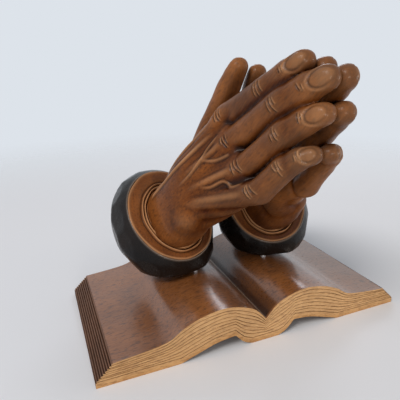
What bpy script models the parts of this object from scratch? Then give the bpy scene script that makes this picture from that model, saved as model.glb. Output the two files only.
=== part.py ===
"""Carved wooden praying hands on an open wooden book, modelled in metres with +Z up.

The origin is under the middle of the spine, where it rests. The book's pages open to -X and +X,
and its spine runs along Y. Each hand stands on a steel pin in the swell of one page, and the two
lean forward over the front of the book, towards -Y, with their palms at the plane X = 0.
"""
import math

import bmesh
import bpy
from mathutils import Matrix, Vector
from mathutils.bvhtree import BVHTree

MM = 0.001

# Book
BOOK_WIDTH = 280 * MM          # across both covers
BOOK_DEPTH = 139 * MM          # along the spine
COVER_BOARD = 5.2 * MM         # thickness of the covers and of the strip over the spine
FORE_EDGE = 17.9 * MM          # height of the page block at its outer edges
FORE_LEAN = 13.3 * MM          # how far those edges lean in above the covers
PAGE_CREST = 39.4 * MM         # height of the swell of each page
CREST_OFFSET = 35 * MM         # from the gutter to the middle of the swell
SWELL_FOOT = 88 * MM           # from the gutter to where the page lies flat
GUTTER_HEIGHT = 20 * MM        # floor of the valley between the pages
ARCH_SPAN = 47 * MM            # hollow under each cover, beside the spine
ARCH_RISE = 11.8 * MM          # height of that hollow
SPINE_WIDTH = 56 * MM          # rounded strip under the gutter
SPINE_FLAT = 25 * MM           # part of the strip that it rests on
PAGE_LINES = 4                 # carved lines round the page block
LINE_WIDTH = 1.1 * MM
LINE_DEPTH = 0.8 * MM
SPLIT_DEPTH = 3.0 * MM         # open split between the right pages and the spine strip

# Steel pins
PIN_SPACING = 72.8 * MM        # between the middles of the two pins
PIN_ADVANCE = 2.5 * MM         # in front of the middle of the book
PIN_DIAMETER = 5.5 * MM
PIN_SEAT = 10 * MM             # length let into the wood at each end
PIN_STANDOFF = 3.6 * MM        # free length between the page and the sleeve
JOIN_GAP = 0.3 * MM            # between pieces that touch or seat in one another

# Sleeves, turned about the forearm and cut flat underneath
FOREARM_LEAN = math.radians(45.8)    # above the horizontal
FOREARM_SPLAY = math.radians(11.6)   # away from straight ahead
RIM_OUTSET = 50.3 * MM         # middle of the rim from the palm plane
RIM_SETBACK = 22.1 * MM        # middle of the rim behind the pins
RIM_HEIGHT = 47.5 * MM         # middle of the rim above the flat underside
RIM_RADIUS = 47 * MM           # measured upwards
SLEEVE_NARROWING = 0.85        # width of the sleeve for its height
SLEEVE_RADIUS = 58.5 * MM      # at its fullest
SLEEVE_FULLEST = 18 * MM       # from the rim back to the fullest part
SLEEVE_LENGTH = 50 * MM        # from the rim to the back
RIM_WIDTH = 1.8 * MM           # lip round the cuff
CUFF_RIDGE_RADIUS = 33.5 * MM  # middle of the double ridge
CUFF_RIDGE_PITCH = 3 * MM
CUFF_RIDGE_RISE = 1.4 * MM
CUFF_RISE = 2 * MM             # cuff in front of the rim, at its ridges
CUFF_HOLLOW_RADIUS = 28 * MM   # opening of the cuff round the wrist
CUFF_HOLLOW_DEPTH = 6 * MM
CUFF_DROP = 4 * MM             # the opening sits this much below the middle of the rim
CUFF_NARROWING = 0.79          # width of the opening for its height

# Fingers of one hand, in millimetres. The knuckle is given as (forward, up) from the middle of the
# sleeve's rim, then each bone by its length and its rise in degrees, less a sag in the left hand.
# The distances out from the palm plane, the widths and the thicknesses are taken at the knuckle,
# the two joints and the tip.
FINGERS = {
    "index": {
        "knuckle": (55, 91.5),
        "left_sag": 3,
        "bones": ((48, 27), (23, 28), (18.5, 32)),
        "outs": (18.5, 13, 10, 7),
        "widths": (21, 17.5, 16, 13),
        "thicknesses": (20, 17, 16, 15.2),
    },
    "middle": {
        "knuckle": (69, 75),
        "bones": ((56, 32.5), (23.5, 26.5), (20.5, 26)),
        "outs": (19.5, 13.5, 9.5, 6.2),
        "widths": (22, 19.5, 18.5, 14.5),
        "thicknesses": (21, 18, 16, 14.2),
    },
    "ring": {
        "knuckle": (87, 59.5),
        "bones": ((44.5, 38), (20.5, 32), (17.5, 24)),
        "outs": (19.5, 14.5, 10, 7),
        "widths": (21, 19, 17, 13.5),
        "thicknesses": (20, 17, 15.5, 15.2),
    },
    "little": {
        "knuckle": (103.5, 46),
        "bones": ((30, 43.5), (13.5, 36), (12, 27)),
        "outs": (19, 14.5, 11, 6.4),
        "widths": (19, 16.5, 14.5, 12),
        "thicknesses": (18, 15.5, 14, 14),
    },
}
NAIL_RAISE = 0.8 * MM          # nail above the fingertip

# Thumb, palm and heel of the hand as routes of (out, forward, up, width, thickness), in
# millimetres from the same two references.
THUMB = (
    (34, 15, 36, 24, 26),
    (26, 18, 56, 23, 24),
    (19, 22, 78, 21, 21),
    (14.5, 28, 94, 18, 18),
    (11, 38, 111, 18, 18),
    (8, 49, 127, 13, 15),
)
THUMB_DROP = 5                 # the left thumb ends this much lower
PALM = (
    (50, -5, -9, 58, 48),
    (47, 22, 10, 59, 44),
    (40, 37.5, 32.5, 60, 37),
    (29, 57, 51.5, 74, 28),
    (20, 75, 67.5, 79, 20),
)
HEEL = (
    (47, 28, -1, 33, 36),
    (41, 42, 11, 28, 32),
    (28, 55, 21.5, 24, 27),
    (21, 75, 35.5, 22, 24),
    (19, 93, 43.5, 20, 20),
)

# Cords that stand out on the back of the hand, each as its width and its route of (forward, up),
# in millimetres from the middle of the rim: two tendons to the index finger, one to each of the
# other knuckles, and the veins that cross them.
CORDS = (
    (4.2, ((-4, 22), (12, 42), (30, 64), (50, 87))),
    (4.2, ((2, 17), (19, 36), (37, 57), (57, 81))),
    (5.0, ((44, 47), (56, 61), (68, 74))),
    (5.0, ((52, 37), (68, 48), (85, 58.5))),
    (4.6, ((58, 30), (78, 36), (101, 45))),
    (3.8, ((63, 80), (57, 69), (54, 58), (49, 47), (42, 37))),
    (3.8, ((78, 68), (68, 62), (55, 60))),
    (3.6, ((96, 51), (88, 47), (80, 49), (71, 43), (62, 41))),
)
CORD_RISE = 1.9                # height of a cord above the skin, in millimetres
WRIST_BONE = (50, 49, 11.5, 21, 19)

# Surface of the carving
CARVING_GRAIN = 1.1 * MM       # finest form that the hands keep
FACET_SHARE = 0.0225           # share of the finely carved facets that stay
SHARP_ANGLE = math.radians(35)   # edges bent further than this stay crisp
CUTTER_REACH = 400 * MM        # further than the part goes in any direction

WOOD_RED = (0.26, 0.085, 0.028, 1.0)
WOOD_BOOK = (0.30, 0.125, 0.05, 1.0)
STEEL = (0.62, 0.62, 0.64, 1.0)


def make_material(name, colour, roughness, metallic=0.0):
    material = bpy.data.materials.new(name)
    material.use_nodes = True
    shader = material.node_tree.nodes["Principled BSDF"]
    shader.inputs["Base Color"].default_value = colour
    shader.inputs["Roughness"].default_value = roughness
    shader.inputs["Metallic"].default_value = metallic
    return material


def make_object(name, bm, material=None, smooth=True):
    """Turn a bmesh into an object whose faces point outwards."""
    bmesh.ops.recalc_face_normals(bm, faces=bm.faces)
    mesh = bpy.data.meshes.new(name)
    bm.to_mesh(mesh)
    bm.free()
    if smooth:
        mesh.shade_smooth()
        mesh.set_sharp_from_angle(angle=SHARP_ANGLE)
    obj = bpy.data.objects.new(name, mesh)
    bpy.context.scene.collection.objects.link(obj)
    if material:
        mesh.materials.append(material)
    return obj


def make_guide(obj):
    """Keep a cutter or an added form out of the finished part."""
    obj.hide_render = True
    obj.display_type = "WIRE"
    return obj


def combine(obj, other, operation):
    modifier = obj.modifiers.new(operation.title() + " " + other.name, "BOOLEAN")
    modifier.operation = operation
    modifier.solver = "EXACT"
    modifier.object = make_guide(other)


def curve_through(points, steps):
    """Points on a smooth curve through the given tuples, with so many steps between each two."""
    last = len(points) - 1
    found = []
    for i in range(last):
        before = points[max(i - 1, 0)]
        start = points[i]
        end = points[i + 1]
        after = points[min(i + 2, last)]
        for step in range(steps):
            t = step / steps
            found.append(tuple(
                0.5 * (2 * b + (c - a) * t + (2 * a - 5 * b + 4 * c - d) * t ** 2
                       + (3 * b - a - 3 * c + d) * t ** 3)
                for a, b, c, d in zip(before, start, end, after)
            ))
    found.append(tuple(points[last]))
    return found


def height_on(outline, x):
    """Height of an outline of (x, z) points, in order of x, at a given x."""
    for (x0, z0), (x1, z1) in zip(outline, outline[1:]):
        if x <= x1:
            return z0 + (z1 - z0) * (x - x0) / (x1 - x0)
    return outline[-1][1]


# The book

def page_outline():
    """Top of one page, from the gutter to the fore edge, as (distance, height)."""
    flat = FORE_EDGE + (PAGE_CREST - FORE_EDGE) * 0.2
    return curve_through((
        (0, GUTTER_HEIGHT),
        (CREST_OFFSET * 0.36, PAGE_CREST - (PAGE_CREST - GUTTER_HEIGHT) * 0.35),
        (CREST_OFFSET, PAGE_CREST),
        (CREST_OFFSET + (SWELL_FOOT - CREST_OFFSET) * 0.4, PAGE_CREST - 2.4 * MM),
        (CREST_OFFSET + (SWELL_FOOT - CREST_OFFSET) * 0.7, (PAGE_CREST + flat) / 2),
        (SWELL_FOOT, flat),
        (BOOK_WIDTH / 2 - FORE_LEAN, FORE_EDGE),
    ), 6)


def cover_outline():
    """Underside of one half of the book, from the middle of the spine to the cover's edge."""
    strip = SPINE_WIDTH / 2
    flat = SPINE_FLAT / 2
    rounding = curve_through((
        (flat, 0),
        ((flat + strip) / 2, ARCH_RISE * 0.32),
        (strip, ARCH_RISE),
    ), 3)
    arch = curve_through((
        (strip + 0.2 * MM, ARCH_RISE),
        (strip + ARCH_SPAN * 0.35, ARCH_RISE * 0.83),
        (strip + ARCH_SPAN * 0.7, ARCH_RISE * 0.4),
        (strip + ARCH_SPAN, 0),
    ), 4)
    return [(0, 0)] + [(x, max(z, 0)) for x, z in rounding + arch] + [(BOOK_WIDTH / 2, 0)]


def book_base(material):
    """Page block and covers as one piece: a lattice front and back, joined round their rims."""
    pages = page_outline()
    covers = cover_outline()
    half = BOOK_WIDTH / 2
    page_edge = half - FORE_LEAN
    reaches = sorted({round(x / page_edge, 4) for x, _ in pages[::2]}
                     | {round(x / half, 4) for x, _ in covers[::2]}
                     | {round(SPINE_WIDTH / BOOK_WIDTH, 4)})
    reaches = [reach for reach, after in zip(reaches, reaches[1:]) if after - reach > 0.012] + [1.0]
    columns = [-reach for reach in reversed(reaches) if reach > 0] + reaches

    # Rows from the underside up, as (kind, share of the page block's height). Each line is a
    # lip, a valley and a lip.
    rows = [("under", 0)]
    for line in range(PAGE_LINES + 1):
        rows += [(kind, line / (PAGE_LINES + 1)) for kind in ("lower lip", "valley", "upper lip")]
    rows.append(("top", 1))
    shifts = {"lower lip": -LINE_WIDTH / 2, "upper lip": LINE_WIDTH / 2}

    def lattice_point(row, column, end):
        kind, share = row
        board = 0 if kind == "under" else COVER_BOARD
        lean = FORE_LEAN * share
        depth = LINE_DEPTH if kind == "valley" else 0
        x = column * (half - lean)
        bottom = height_on(covers, abs(x)) + board
        top = height_on(pages, abs(x))
        z = bottom + share * (top - bottom) + shifts.get(kind, 0)
        split = kind == "valley" and share == 0 and 0.5 < x / (SPINE_WIDTH / 2) < 1
        y = BOOK_DEPTH / 2 - (SPLIT_DEPTH if split and end < 0 else depth)
        if abs(column) == 1.0:
            x -= math.copysign(depth, x)
        return Vector((x, end * y, z))

    bm = bmesh.new()
    faces = {}
    for end in (-1, 1):
        faces[end] = [[bm.verts.new(lattice_point(row, column, end)) for column in columns]
                      for row in rows]
        for lower, upper in zip(faces[end], faces[end][1:]):
            for i in range(len(columns) - 1):
                bm.faces.new((lower[i], lower[i + 1], upper[i + 1], upper[i]))
    front = rim_of(faces[-1])
    back = rim_of(faces[1])
    for i in range(len(front)):
        j = (i + 1) % len(front)
        bm.faces.new((front[i], front[j], back[j], back[i]))
    return make_object("book_base", bm, material, smooth=False)


def rim_of(lattice):
    """The outer loop of a lattice of vertices, once round."""
    right = [row[-1] for row in lattice[1:-1]]
    left = [row[0] for row in lattice[1:-1]]
    return lattice[0] + right + lattice[-1][::-1] + left[::-1]


# The hands

def forearm_axis(side):
    """Direction from the hand back along the forearm, with side -1 at -X and +1 at +X."""
    level = math.cos(FOREARM_LEAN)
    return Vector((side * math.sin(FOREARM_SPLAY) * level,
                   math.cos(FOREARM_SPLAY) * level,
                   -math.sin(FOREARM_LEAN)))


def across_forearm(side):
    """Direction at right angles to the forearm, as near to upwards as it can be."""
    axis = forearm_axis(side)
    return (Vector((0, 0, 1)) - axis * axis.z).normalized()


def sleeve_base():
    """Height of the sleeves' flat undersides, where the pins hold them off the pages."""
    return height_on(page_outline(), PIN_SPACING / 2) + PIN_STANDOFF


def rim_middle(side):
    """Middle of the sleeve's rim."""
    return Vector((side * RIM_OUTSET, RIM_SETBACK - PIN_ADVANCE, sleeve_base() + RIM_HEIGHT))


def add_rings(bm, rings):
    """Join rings of points into one closed tube, each end gathered to a point."""
    loops = [[bm.verts.new(point) for point in ring] for ring in rings]
    count = len(rings[0])
    for lower, upper in zip(loops, loops[1:]):
        for i in range(count):
            j = (i + 1) % count
            bm.faces.new((lower[i], lower[j], upper[j], upper[i]))
    for loop in (loops[0], loops[-1]):
        middle = bm.verts.new(sum((vert.co for vert in loop), Vector()) / count)
        for i in range(count):
            bm.faces.new((loop[i], loop[(i + 1) % count], middle))


def ring_round(centre, across, thick, half_width, half_thickness, count, squareness=2.0):
    """Points of an oval, which a squareness above 2 swells towards its corners."""
    points = []
    for i in range(count):
        angle = 2 * math.pi * i / count
        cosine = math.cos(angle)
        sine = math.sin(angle)
        swell = (abs(cosine) ** squareness + abs(sine) ** squareness) ** (-1 / squareness)
        points.append(centre + across * cosine * swell * half_width
                      + thick * sine * swell * half_thickness)
    return points


def add_limb(bm, stations, squareness=2.3, count=24):
    """Add a rounded limb through stations of (x, y, z, width, thickness).

    The thickness lies as near to X as the limb's direction lets it. Both ends are domed.
    """
    route = curve_through(stations, 4)
    centres = [Vector(station[:3]) for station in route]
    rings = []
    last = len(route) - 1
    for i, station in enumerate(route):
        along = (centres[min(i + 1, last)] - centres[max(i - 1, 0)]).normalized()
        thick = (Vector((1, 0, 0)) - along * along.x).normalized()
        across = along.cross(thick)
        half_width = station[3] / 2
        half_thickness = station[4] / 2
        dome = []
        if i in (0, last):
            outwards = along if i else -along
            for angle in (math.radians(a) for a in (25, 50, 72)):
                dome.append(ring_round(centres[i] + outwards * half_thickness * math.sin(angle),
                                       across, thick, half_width * math.cos(angle),
                                       half_thickness * math.cos(angle), count, squareness))
        body = ring_round(centres[i], across, thick, half_width, half_thickness, count, squareness)
        rings += dome[::-1] + [body] if i == 0 else [body] + dome
    add_rings(bm, rings)


def placed(side, out, forward, up, width, thickness):
    """Station of a limb from its distances to the palm plane and to the sleeve's rim."""
    rim = rim_middle(side)
    return (side * out * MM, rim.y - forward * MM, rim.z + up * MM, width * MM, thickness * MM)


def finger_stations(side, finger):
    """Stations at the knuckle, the two joints and just short of the fingertip."""
    forward, up = finger["knuckle"]
    outs = finger["outs"]
    widths = finger["widths"]
    thicknesses = finger["thicknesses"]
    sag = finger.get("left_sag", 0) if side > 0 else 0
    stations = [placed(side, outs[0], forward, up, widths[0], thicknesses[0])]
    for i, (length, rise) in enumerate(finger["bones"], start=1):
        reach = length if i < 3 else length - thicknesses[3] / 2
        angle = math.radians(rise - sag)
        forward += reach * math.cos(angle)
        up += reach * math.sin(angle)
        stations.append(placed(side, outs[i], forward, up, widths[i], thicknesses[i]))
    return stations


def add_cords(bm, side):
    """Lay the tendons and veins half sunk along the back of the hand."""
    skin = BVHTree.FromBMesh(bm)
    inwards = Vector((-side, 0, 0))
    for width, route in CORDS:
        stations = []
        for forward, up in route:
            outside = Vector(placed(side, CUTTER_REACH / MM, forward, up, width, width)[:3])
            spot = skin.ray_cast(outside, inwards)[0] + inwards * (width / 2 - CORD_RISE) * MM
            stations.append((*spot, width * MM, width * MM))
        add_limb(bm, stations, squareness=2.0, count=12)


def hand_limbs(side):
    """Fingers, the bones behind their knuckles, thumb, palm and heel as overlapping limbs."""
    bm = bmesh.new()
    palm = [placed(side, *station) for station in PALM]
    for finger in FINGERS.values():
        stations = finger_stations(side, finger)
        knuckle = stations[0]
        add_limb(bm, stations)
        # The bone behind the knuckle runs into the back of the palm.
        root = list(palm[2])
        root[0] += side * (root[4] - knuckle[4]) / 2
        root[1] += (knuckle[1] - palm[4][1]) * 0.4
        root[2] += (knuckle[2] - palm[4][2]) * 0.4
        root[3] = knuckle[3] * 0.7
        root[4] = knuckle[4] * 0.9
        add_limb(bm, (root, knuckle))
    drop = THUMB_DROP if side > 0 else 0
    thumb = [(out, forward, up - drop * max(0, i - 2) / 3, width, thickness)
             for i, (out, forward, up, width, thickness) in enumerate(THUMB)]
    add_limb(bm, [placed(side, *station) for station in thumb])
    add_limb(bm, palm, squareness=2.5)
    add_limb(bm, [placed(side, *station) for station in HEEL])
    wrist_bone = placed(side, *WRIST_BONE)
    add_limb(bm, (wrist_bone, placed(side, *(WRIST_BONE[0] + 1, *WRIST_BONE[1:]))))
    add_cords(bm, side)
    return bm


def nails(side):
    """Raised oval nails on the backs of the four fingertips."""
    bm = bmesh.new()
    for finger in FINGERS.values():
        joint, tip = finger_stations(side, finger)[2:]
        outwards = Vector((side, 0, 0))
        back_of_joint = Vector(joint[:3]) + outwards * joint[4] / 2
        back_of_tip = Vector(tip[:3]) + outwards * tip[4] / 2
        along = (back_of_tip - back_of_joint).normalized()
        across = along.cross(outwards).normalized()
        facing = across.cross(along)
        length = (back_of_tip - back_of_joint).length + tip[4] * 0.35
        width = tip[3] * 0.85
        depth = width * 0.45
        middle = back_of_joint.lerp(back_of_tip, 0.86) - facing * (depth - NAIL_RAISE)
        turn = Matrix((along, across, facing)).transposed().to_4x4()
        size = Matrix.Diagonal((length * 0.42, width / 2, depth, 1))
        bmesh.ops.create_uvsphere(bm, u_segments=12, v_segments=6, radius=1,
                                  matrix=Matrix.Translation(middle) @ turn @ size)
    return make_object("nails", bm)


def sleeve_profile():
    """Cuff, then sleeve, as (distance behind the rim, radius), from inside the cuff to the back."""
    ridge = CUFF_RIDGE_RADIUS
    pitch = CUFF_RIDGE_PITCH
    front = -CUFF_RISE
    crest = front - CUFF_RIDGE_RISE
    lip = RIM_RADIUS - RIM_WIDTH
    cuff = [
        (CUFF_HOLLOW_DEPTH, CUFF_HOLLOW_RADIUS - 1.5 * MM),
        (front, CUFF_HOLLOW_RADIUS),
        (front - 0.6 * MM, CUFF_HOLLOW_RADIUS + 1 * MM),
        (front, ridge - pitch),
        (crest, ridge - pitch / 2),
        (front, ridge),
        (crest, ridge + pitch / 2),
        (front + 0.6 * MM, ridge + pitch),
        (0.9 * MM, lip - 0.4 * MM),
        (-0.6 * MM, lip + 0.6 * MM),
    ]
    body = curve_through((
        (0, RIM_RADIUS),
        (SLEEVE_FULLEST * 0.45, (RIM_RADIUS + SLEEVE_RADIUS) / 2 + 1 * MM),
        (SLEEVE_FULLEST, SLEEVE_RADIUS),
        (SLEEVE_LENGTH * 0.68, SLEEVE_RADIUS * 0.93),
        (SLEEVE_LENGTH * 0.9, SLEEVE_RADIUS * 0.78),
        (SLEEVE_LENGTH, SLEEVE_RADIUS * 0.55),
    ), 2)
    return cuff, body


def sleeve_solid(side):
    """Sleeve and cuff in one; the cuff widens from its own opening to the oval of the rim."""
    axis = forearm_axis(side)
    up = across_forearm(side)
    sideways = axis.cross(up)
    rim = rim_middle(side)
    cuff, body = sleeve_profile()
    ridges_end = CUFF_RIDGE_RADIUS + CUFF_RIDGE_PITCH
    rings = []
    for behind, radius in cuff:
        share = min(max((radius - ridges_end) / (RIM_RADIUS - RIM_WIDTH - ridges_end), 0), 1)
        narrowing = CUFF_NARROWING + (SLEEVE_NARROWING - CUFF_NARROWING) * share
        centre = rim + axis * behind - up * CUFF_DROP * (1 - share)
        rings.append(ring_round(centre, sideways, up, radius * narrowing, radius, 32))
    for behind, radius in body:
        rings.append(ring_round(rim + axis * behind, sideways, up, radius * SLEEVE_NARROWING,
                                radius, 32))
    bm = bmesh.new()
    add_rings(bm, rings)
    return make_object("sleeve form", bm)


def block(name, low, high):
    bm = bmesh.new()
    bmesh.ops.create_cube(bm, size=1.0)
    size = high - low
    bmesh.ops.transform(bm, verts=bm.verts,
                        matrix=Matrix.Translation((low + high) / 2) @ Matrix.Diagonal((*size, 1)))
    return make_object(name, bm)


def rod(name, x, low, high, diameter, material=None):
    """Upright round rod at the pin's place."""
    bm = bmesh.new()
    bmesh.ops.create_cone(bm, cap_ends=True, segments=20, radius1=diameter / 2,
                          radius2=diameter / 2, depth=high - low,
                          matrix=Matrix.Translation((x, -PIN_ADVANCE, (low + high) / 2)))
    return make_object(name, bm, material)


def hand(name, side, material):
    """One hand with its cuff and sleeve, carved as one piece and flat where it meets the other."""
    obj = make_object(name, hand_limbs(side), material)
    carve = obj.modifiers.new("Carve", "REMESH")
    carve.mode = "VOXEL"
    carve.voxel_size = CARVING_GRAIN
    carve.use_smooth_shade = True
    smooth = obj.modifiers.new("Smooth", "SMOOTH")
    smooth.factor = 0.5
    smooth.iterations = 2
    facets = obj.modifiers.new("Facets", "DECIMATE")
    facets.ratio = FACET_SHARE
    combine(obj, nails(side), "UNION")
    combine(obj, sleeve_solid(side), "UNION")

    reach = CUTTER_REACH
    base = sleeve_base()
    combine(obj, block(name + " underside", Vector((-reach, -reach, base - reach)),
                       Vector((reach, reach, base))), "DIFFERENCE")
    far = Vector((side * -reach, -reach, -reach))
    near = Vector((side * JOIN_GAP / 2, reach, reach))
    low = Vector(map(min, far, near))
    high = Vector(map(max, far, near))
    combine(obj, block(name + " palm plane", low, high), "DIFFERENCE")

    low, high = pin_ends()
    combine(obj, rod(name + " pin hole", side * PIN_SPACING / 2, base - JOIN_GAP, high + JOIN_GAP,
                     PIN_DIAMETER + 2 * JOIN_GAP), "DIFFERENCE")
    return obj


# The pins

def pin_ends():
    """Lowest and highest point of a pin."""
    base = sleeve_base()
    return base - PIN_STANDOFF - PIN_SEAT, base + PIN_SEAT


def main():
    for obj in list(bpy.data.objects):
        bpy.data.objects.remove(obj)

    book_wood = make_material("Carved book wood", WOOD_BOOK, 0.35)
    hand_wood = make_material("Varnished carved wood", WOOD_RED, 0.3)
    steel = make_material("Bright steel", STEEL, 0.25, metallic=1.0)

    book = book_base(book_wood)
    low, high = pin_ends()
    for name, side in (("right", -1), ("left", 1)):
        x = side * PIN_SPACING / 2
        hand(name + "_hand", side, hand_wood)
        rod(name + "_pin", x, low, high, PIN_DIAMETER, steel)
        combine(book, rod(name + " page hole", x, low - JOIN_GAP, high,
                          PIN_DIAMETER + 2 * JOIN_GAP), "DIFFERENCE")


main()
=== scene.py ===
# A pair of praying hands carved in hardwood, leaning over an open wooden book.
import math

import bmesh
import bpy
import numpy as np
from mathutils import Matrix, Vector


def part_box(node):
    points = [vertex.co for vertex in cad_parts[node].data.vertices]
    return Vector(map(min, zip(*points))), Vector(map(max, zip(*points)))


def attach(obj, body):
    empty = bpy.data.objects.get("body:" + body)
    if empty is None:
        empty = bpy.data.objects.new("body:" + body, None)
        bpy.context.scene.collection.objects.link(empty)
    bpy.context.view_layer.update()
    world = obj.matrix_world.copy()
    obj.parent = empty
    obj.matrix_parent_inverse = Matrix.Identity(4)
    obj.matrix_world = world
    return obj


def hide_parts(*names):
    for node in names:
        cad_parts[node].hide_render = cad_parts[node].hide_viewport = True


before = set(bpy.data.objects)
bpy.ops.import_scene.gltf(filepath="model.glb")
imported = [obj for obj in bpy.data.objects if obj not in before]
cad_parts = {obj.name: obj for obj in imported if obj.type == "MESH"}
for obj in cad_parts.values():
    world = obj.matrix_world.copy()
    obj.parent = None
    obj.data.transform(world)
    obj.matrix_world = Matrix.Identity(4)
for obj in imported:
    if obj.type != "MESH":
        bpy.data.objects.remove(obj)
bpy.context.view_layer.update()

mm = 0.001
rng = np.random.default_rng(11)

bookLow, bookHigh = (Vector(corner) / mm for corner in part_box("book_base"))
pinLow, pinHigh = (Vector(corner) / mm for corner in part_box("left_pin"))
handLow = Vector(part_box("left_hand")[0]) / mm
pinY = (pinLow.y + pinHigh.y) / 2

# sizes that the solids have too, in mm
shared = {
    "bookWidth": bookHigh.x - bookLow.x,
    "bookDepth": bookHigh.y - bookLow.y,
    "coverBoard": 5.2,
    "foreEdge": 17.9,
    "foreLean": 13.3,
    "pageCrest": 39.4,
    "crestOffset": 35.0,
    "swellFoot": 88.0,
    "gutterHeight": 20.0,
    "archSpan": 47.0,
    "archRise": 11.8,
    "spineWidth": 56.0,
    "spineFlat": 25.0,
    "sleeveBase": handLow.z,      # the sleeves are flat underneath
    "rim": (50.3, pinY + 22.1, handLow.z + 47.5),   # middle of a sleeve's rim: out, y, z
    "forearmLean": 45.8,
    "forearmSplay": 11.6,
    "palmGap": 0.15,              # each palm from the plane between them
}


def smoothCurve(points, steps):
    # points on a soft (Catmull-Rom) curve through the given ones
    pts = np.array(points, float)
    padded = np.vstack([pts[:1], pts, pts[-1:]])
    out = []
    for i in range(len(pts) - 1):
        a, b, c, d = padded[i:i + 4]
        for t in np.arange(steps) / steps:
            out.append(0.5 * (2 * b + (c - a) * t + (2 * a - 5 * b + 4 * c - d) * t ** 2
                              + (3 * b - a - 3 * c + d) * t ** 3))
    out.append(pts[-1])
    return np.array(out)


def bell(distance, width):
    return np.exp(-(distance / width) ** 2)


def addObject(name, data):
    obj = bpy.data.objects.new(name, data)
    bpy.context.scene.collection.objects.link(obj)
    return obj


def addPiece(name, co, faces, materials, faceMaterial=None, replaces=(), crisp=None):
    # co in metres; every piece is fixed to the statue
    mesh = bpy.data.meshes.new(name)
    mesh.from_pydata([tuple(p) for p in co], [], [tuple(int(i) for i in f) for f in faces])
    for material in materials:
        mesh.materials.append(material)
    if faceMaterial is not None:
        mesh.polygons.foreach_set("material_index", np.asarray(faceMaterial, np.int32))
    mesh.shade_smooth()
    if crisp:
        mesh.set_sharp_from_angle(angle=math.radians(crisp))
    mesh.update()
    obj = addObject(name, mesh)
    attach(obj, "root")
    if replaces:
        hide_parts(*replaces)
    return obj


def storeValue(obj, name, values):
    layer = obj.data.attributes.new(name, "FLOAT", "POINT")
    layer.data.foreach_set("value", np.asarray(values, np.float32))


# Materials

def toLinear(hexCode):
    parts = [int(hexCode[i:i + 2], 16) / 255 for i in (1, 3, 5)]
    return tuple(p / 12.92 if p <= 0.04045 else ((p + 0.055) / 1.055) ** 2.4 for p in parts) + (1.0,)


def addNode(tree, kind, links=None, values=None, **settings):
    # one node with its settings, its fixed values and what feeds it
    node = tree.nodes.new(kind)
    for key, value in settings.items():
        setattr(node, key, value)
    for key, value in (values or {}).items():
        node.inputs[key].default_value = value
    for key, source in (links or {}).items():
        tree.links.new(source, node.inputs[key])
    return node


def ramp(tree, source, stops):
    node = addNode(tree, "ShaderNodeValToRGB", {"Fac": source})
    elements = node.color_ramp.elements
    while len(elements) < len(stops):
        elements.new(0.5)
    for element, (at, colour) in zip(elements, stops):
        element.position = at
        element.color = toLinear(colour) if isinstance(colour, str) else (colour, colour, colour, 1)
    return node.outputs["Color"]


def mixColour(tree, factor, a, b):
    # each input is a fixed value or another node's output
    node = addNode(tree, "ShaderNodeMix", data_type="RGBA")
    for socket, source in ((node.inputs[0], factor), (node.inputs[6], a), (node.inputs[7], b)):
        if isinstance(source, (float, int, tuple)):
            socket.default_value = source
        else:
            tree.links.new(source, socket)
    return node.outputs[2]


def woodColour(tree, spec, space, turned, grain, pores):
    broad = addNode(tree, "ShaderNodeTexNoise", {"Vector": turned},
                    {"Scale": 1000 / spec["patch"], "Detail": 2.0}).outputs["Fac"]
    colour = ramp(tree, grain, [(0.3, spec["dark"]), (0.5, spec["middle"]), (0.7, spec["light"])])
    shade = ramp(tree, broad, [(0.35, spec["patchDark"]), (0.65, spec["patchLight"])])
    colour = mixColour(tree, spec["patchShare"], colour, shade)
    # open pores took more stain and show as short dark flecks along the grain
    flecks = ramp(tree, pores, [(0.34, 1.0), (0.47, 0.0)])
    fleckShare = addNode(tree, "ShaderNodeMath", {0: flecks}, {1: spec["fleck"]}, operation="MULTIPLY")
    colour = mixColour(tree, fleckShare.outputs[0], colour, toLinear(spec["poreColour"]))
    for knot in spec.get("knots", ()):
        away = addNode(tree, "ShaderNodeVectorMath", {0: space}, {1: tuple(c * mm for c in knot["at"])},
                       operation="DISTANCE").outputs["Value"]
        share = addNode(tree, "ShaderNodeMapRange", {"Value": away},
                        {"From Min": knot["radius"] * 0.5 * mm, "From Max": knot["radius"] * 1.6 * mm,
                         "To Min": 0.75, "To Max": 0.0}).outputs[0]
        colour = mixColour(tree, share, colour, toLinear(spec["cutColour"]))
    # the hollow attribute paints shade into cuts and hollows along with the stain there, and the raised
    # attribute paints highlight onto raised places along with their wear
    for layer, tint in (("hollow", spec["cutColour"]), ("raised", spec["wearAndHighlightColour"])):
        share = addNode(tree, "ShaderNodeAttribute", attribute_name=layer).outputs["Fac"]
        colour = mixColour(tree, share, colour, toLinear(tint))
    return colour


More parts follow.
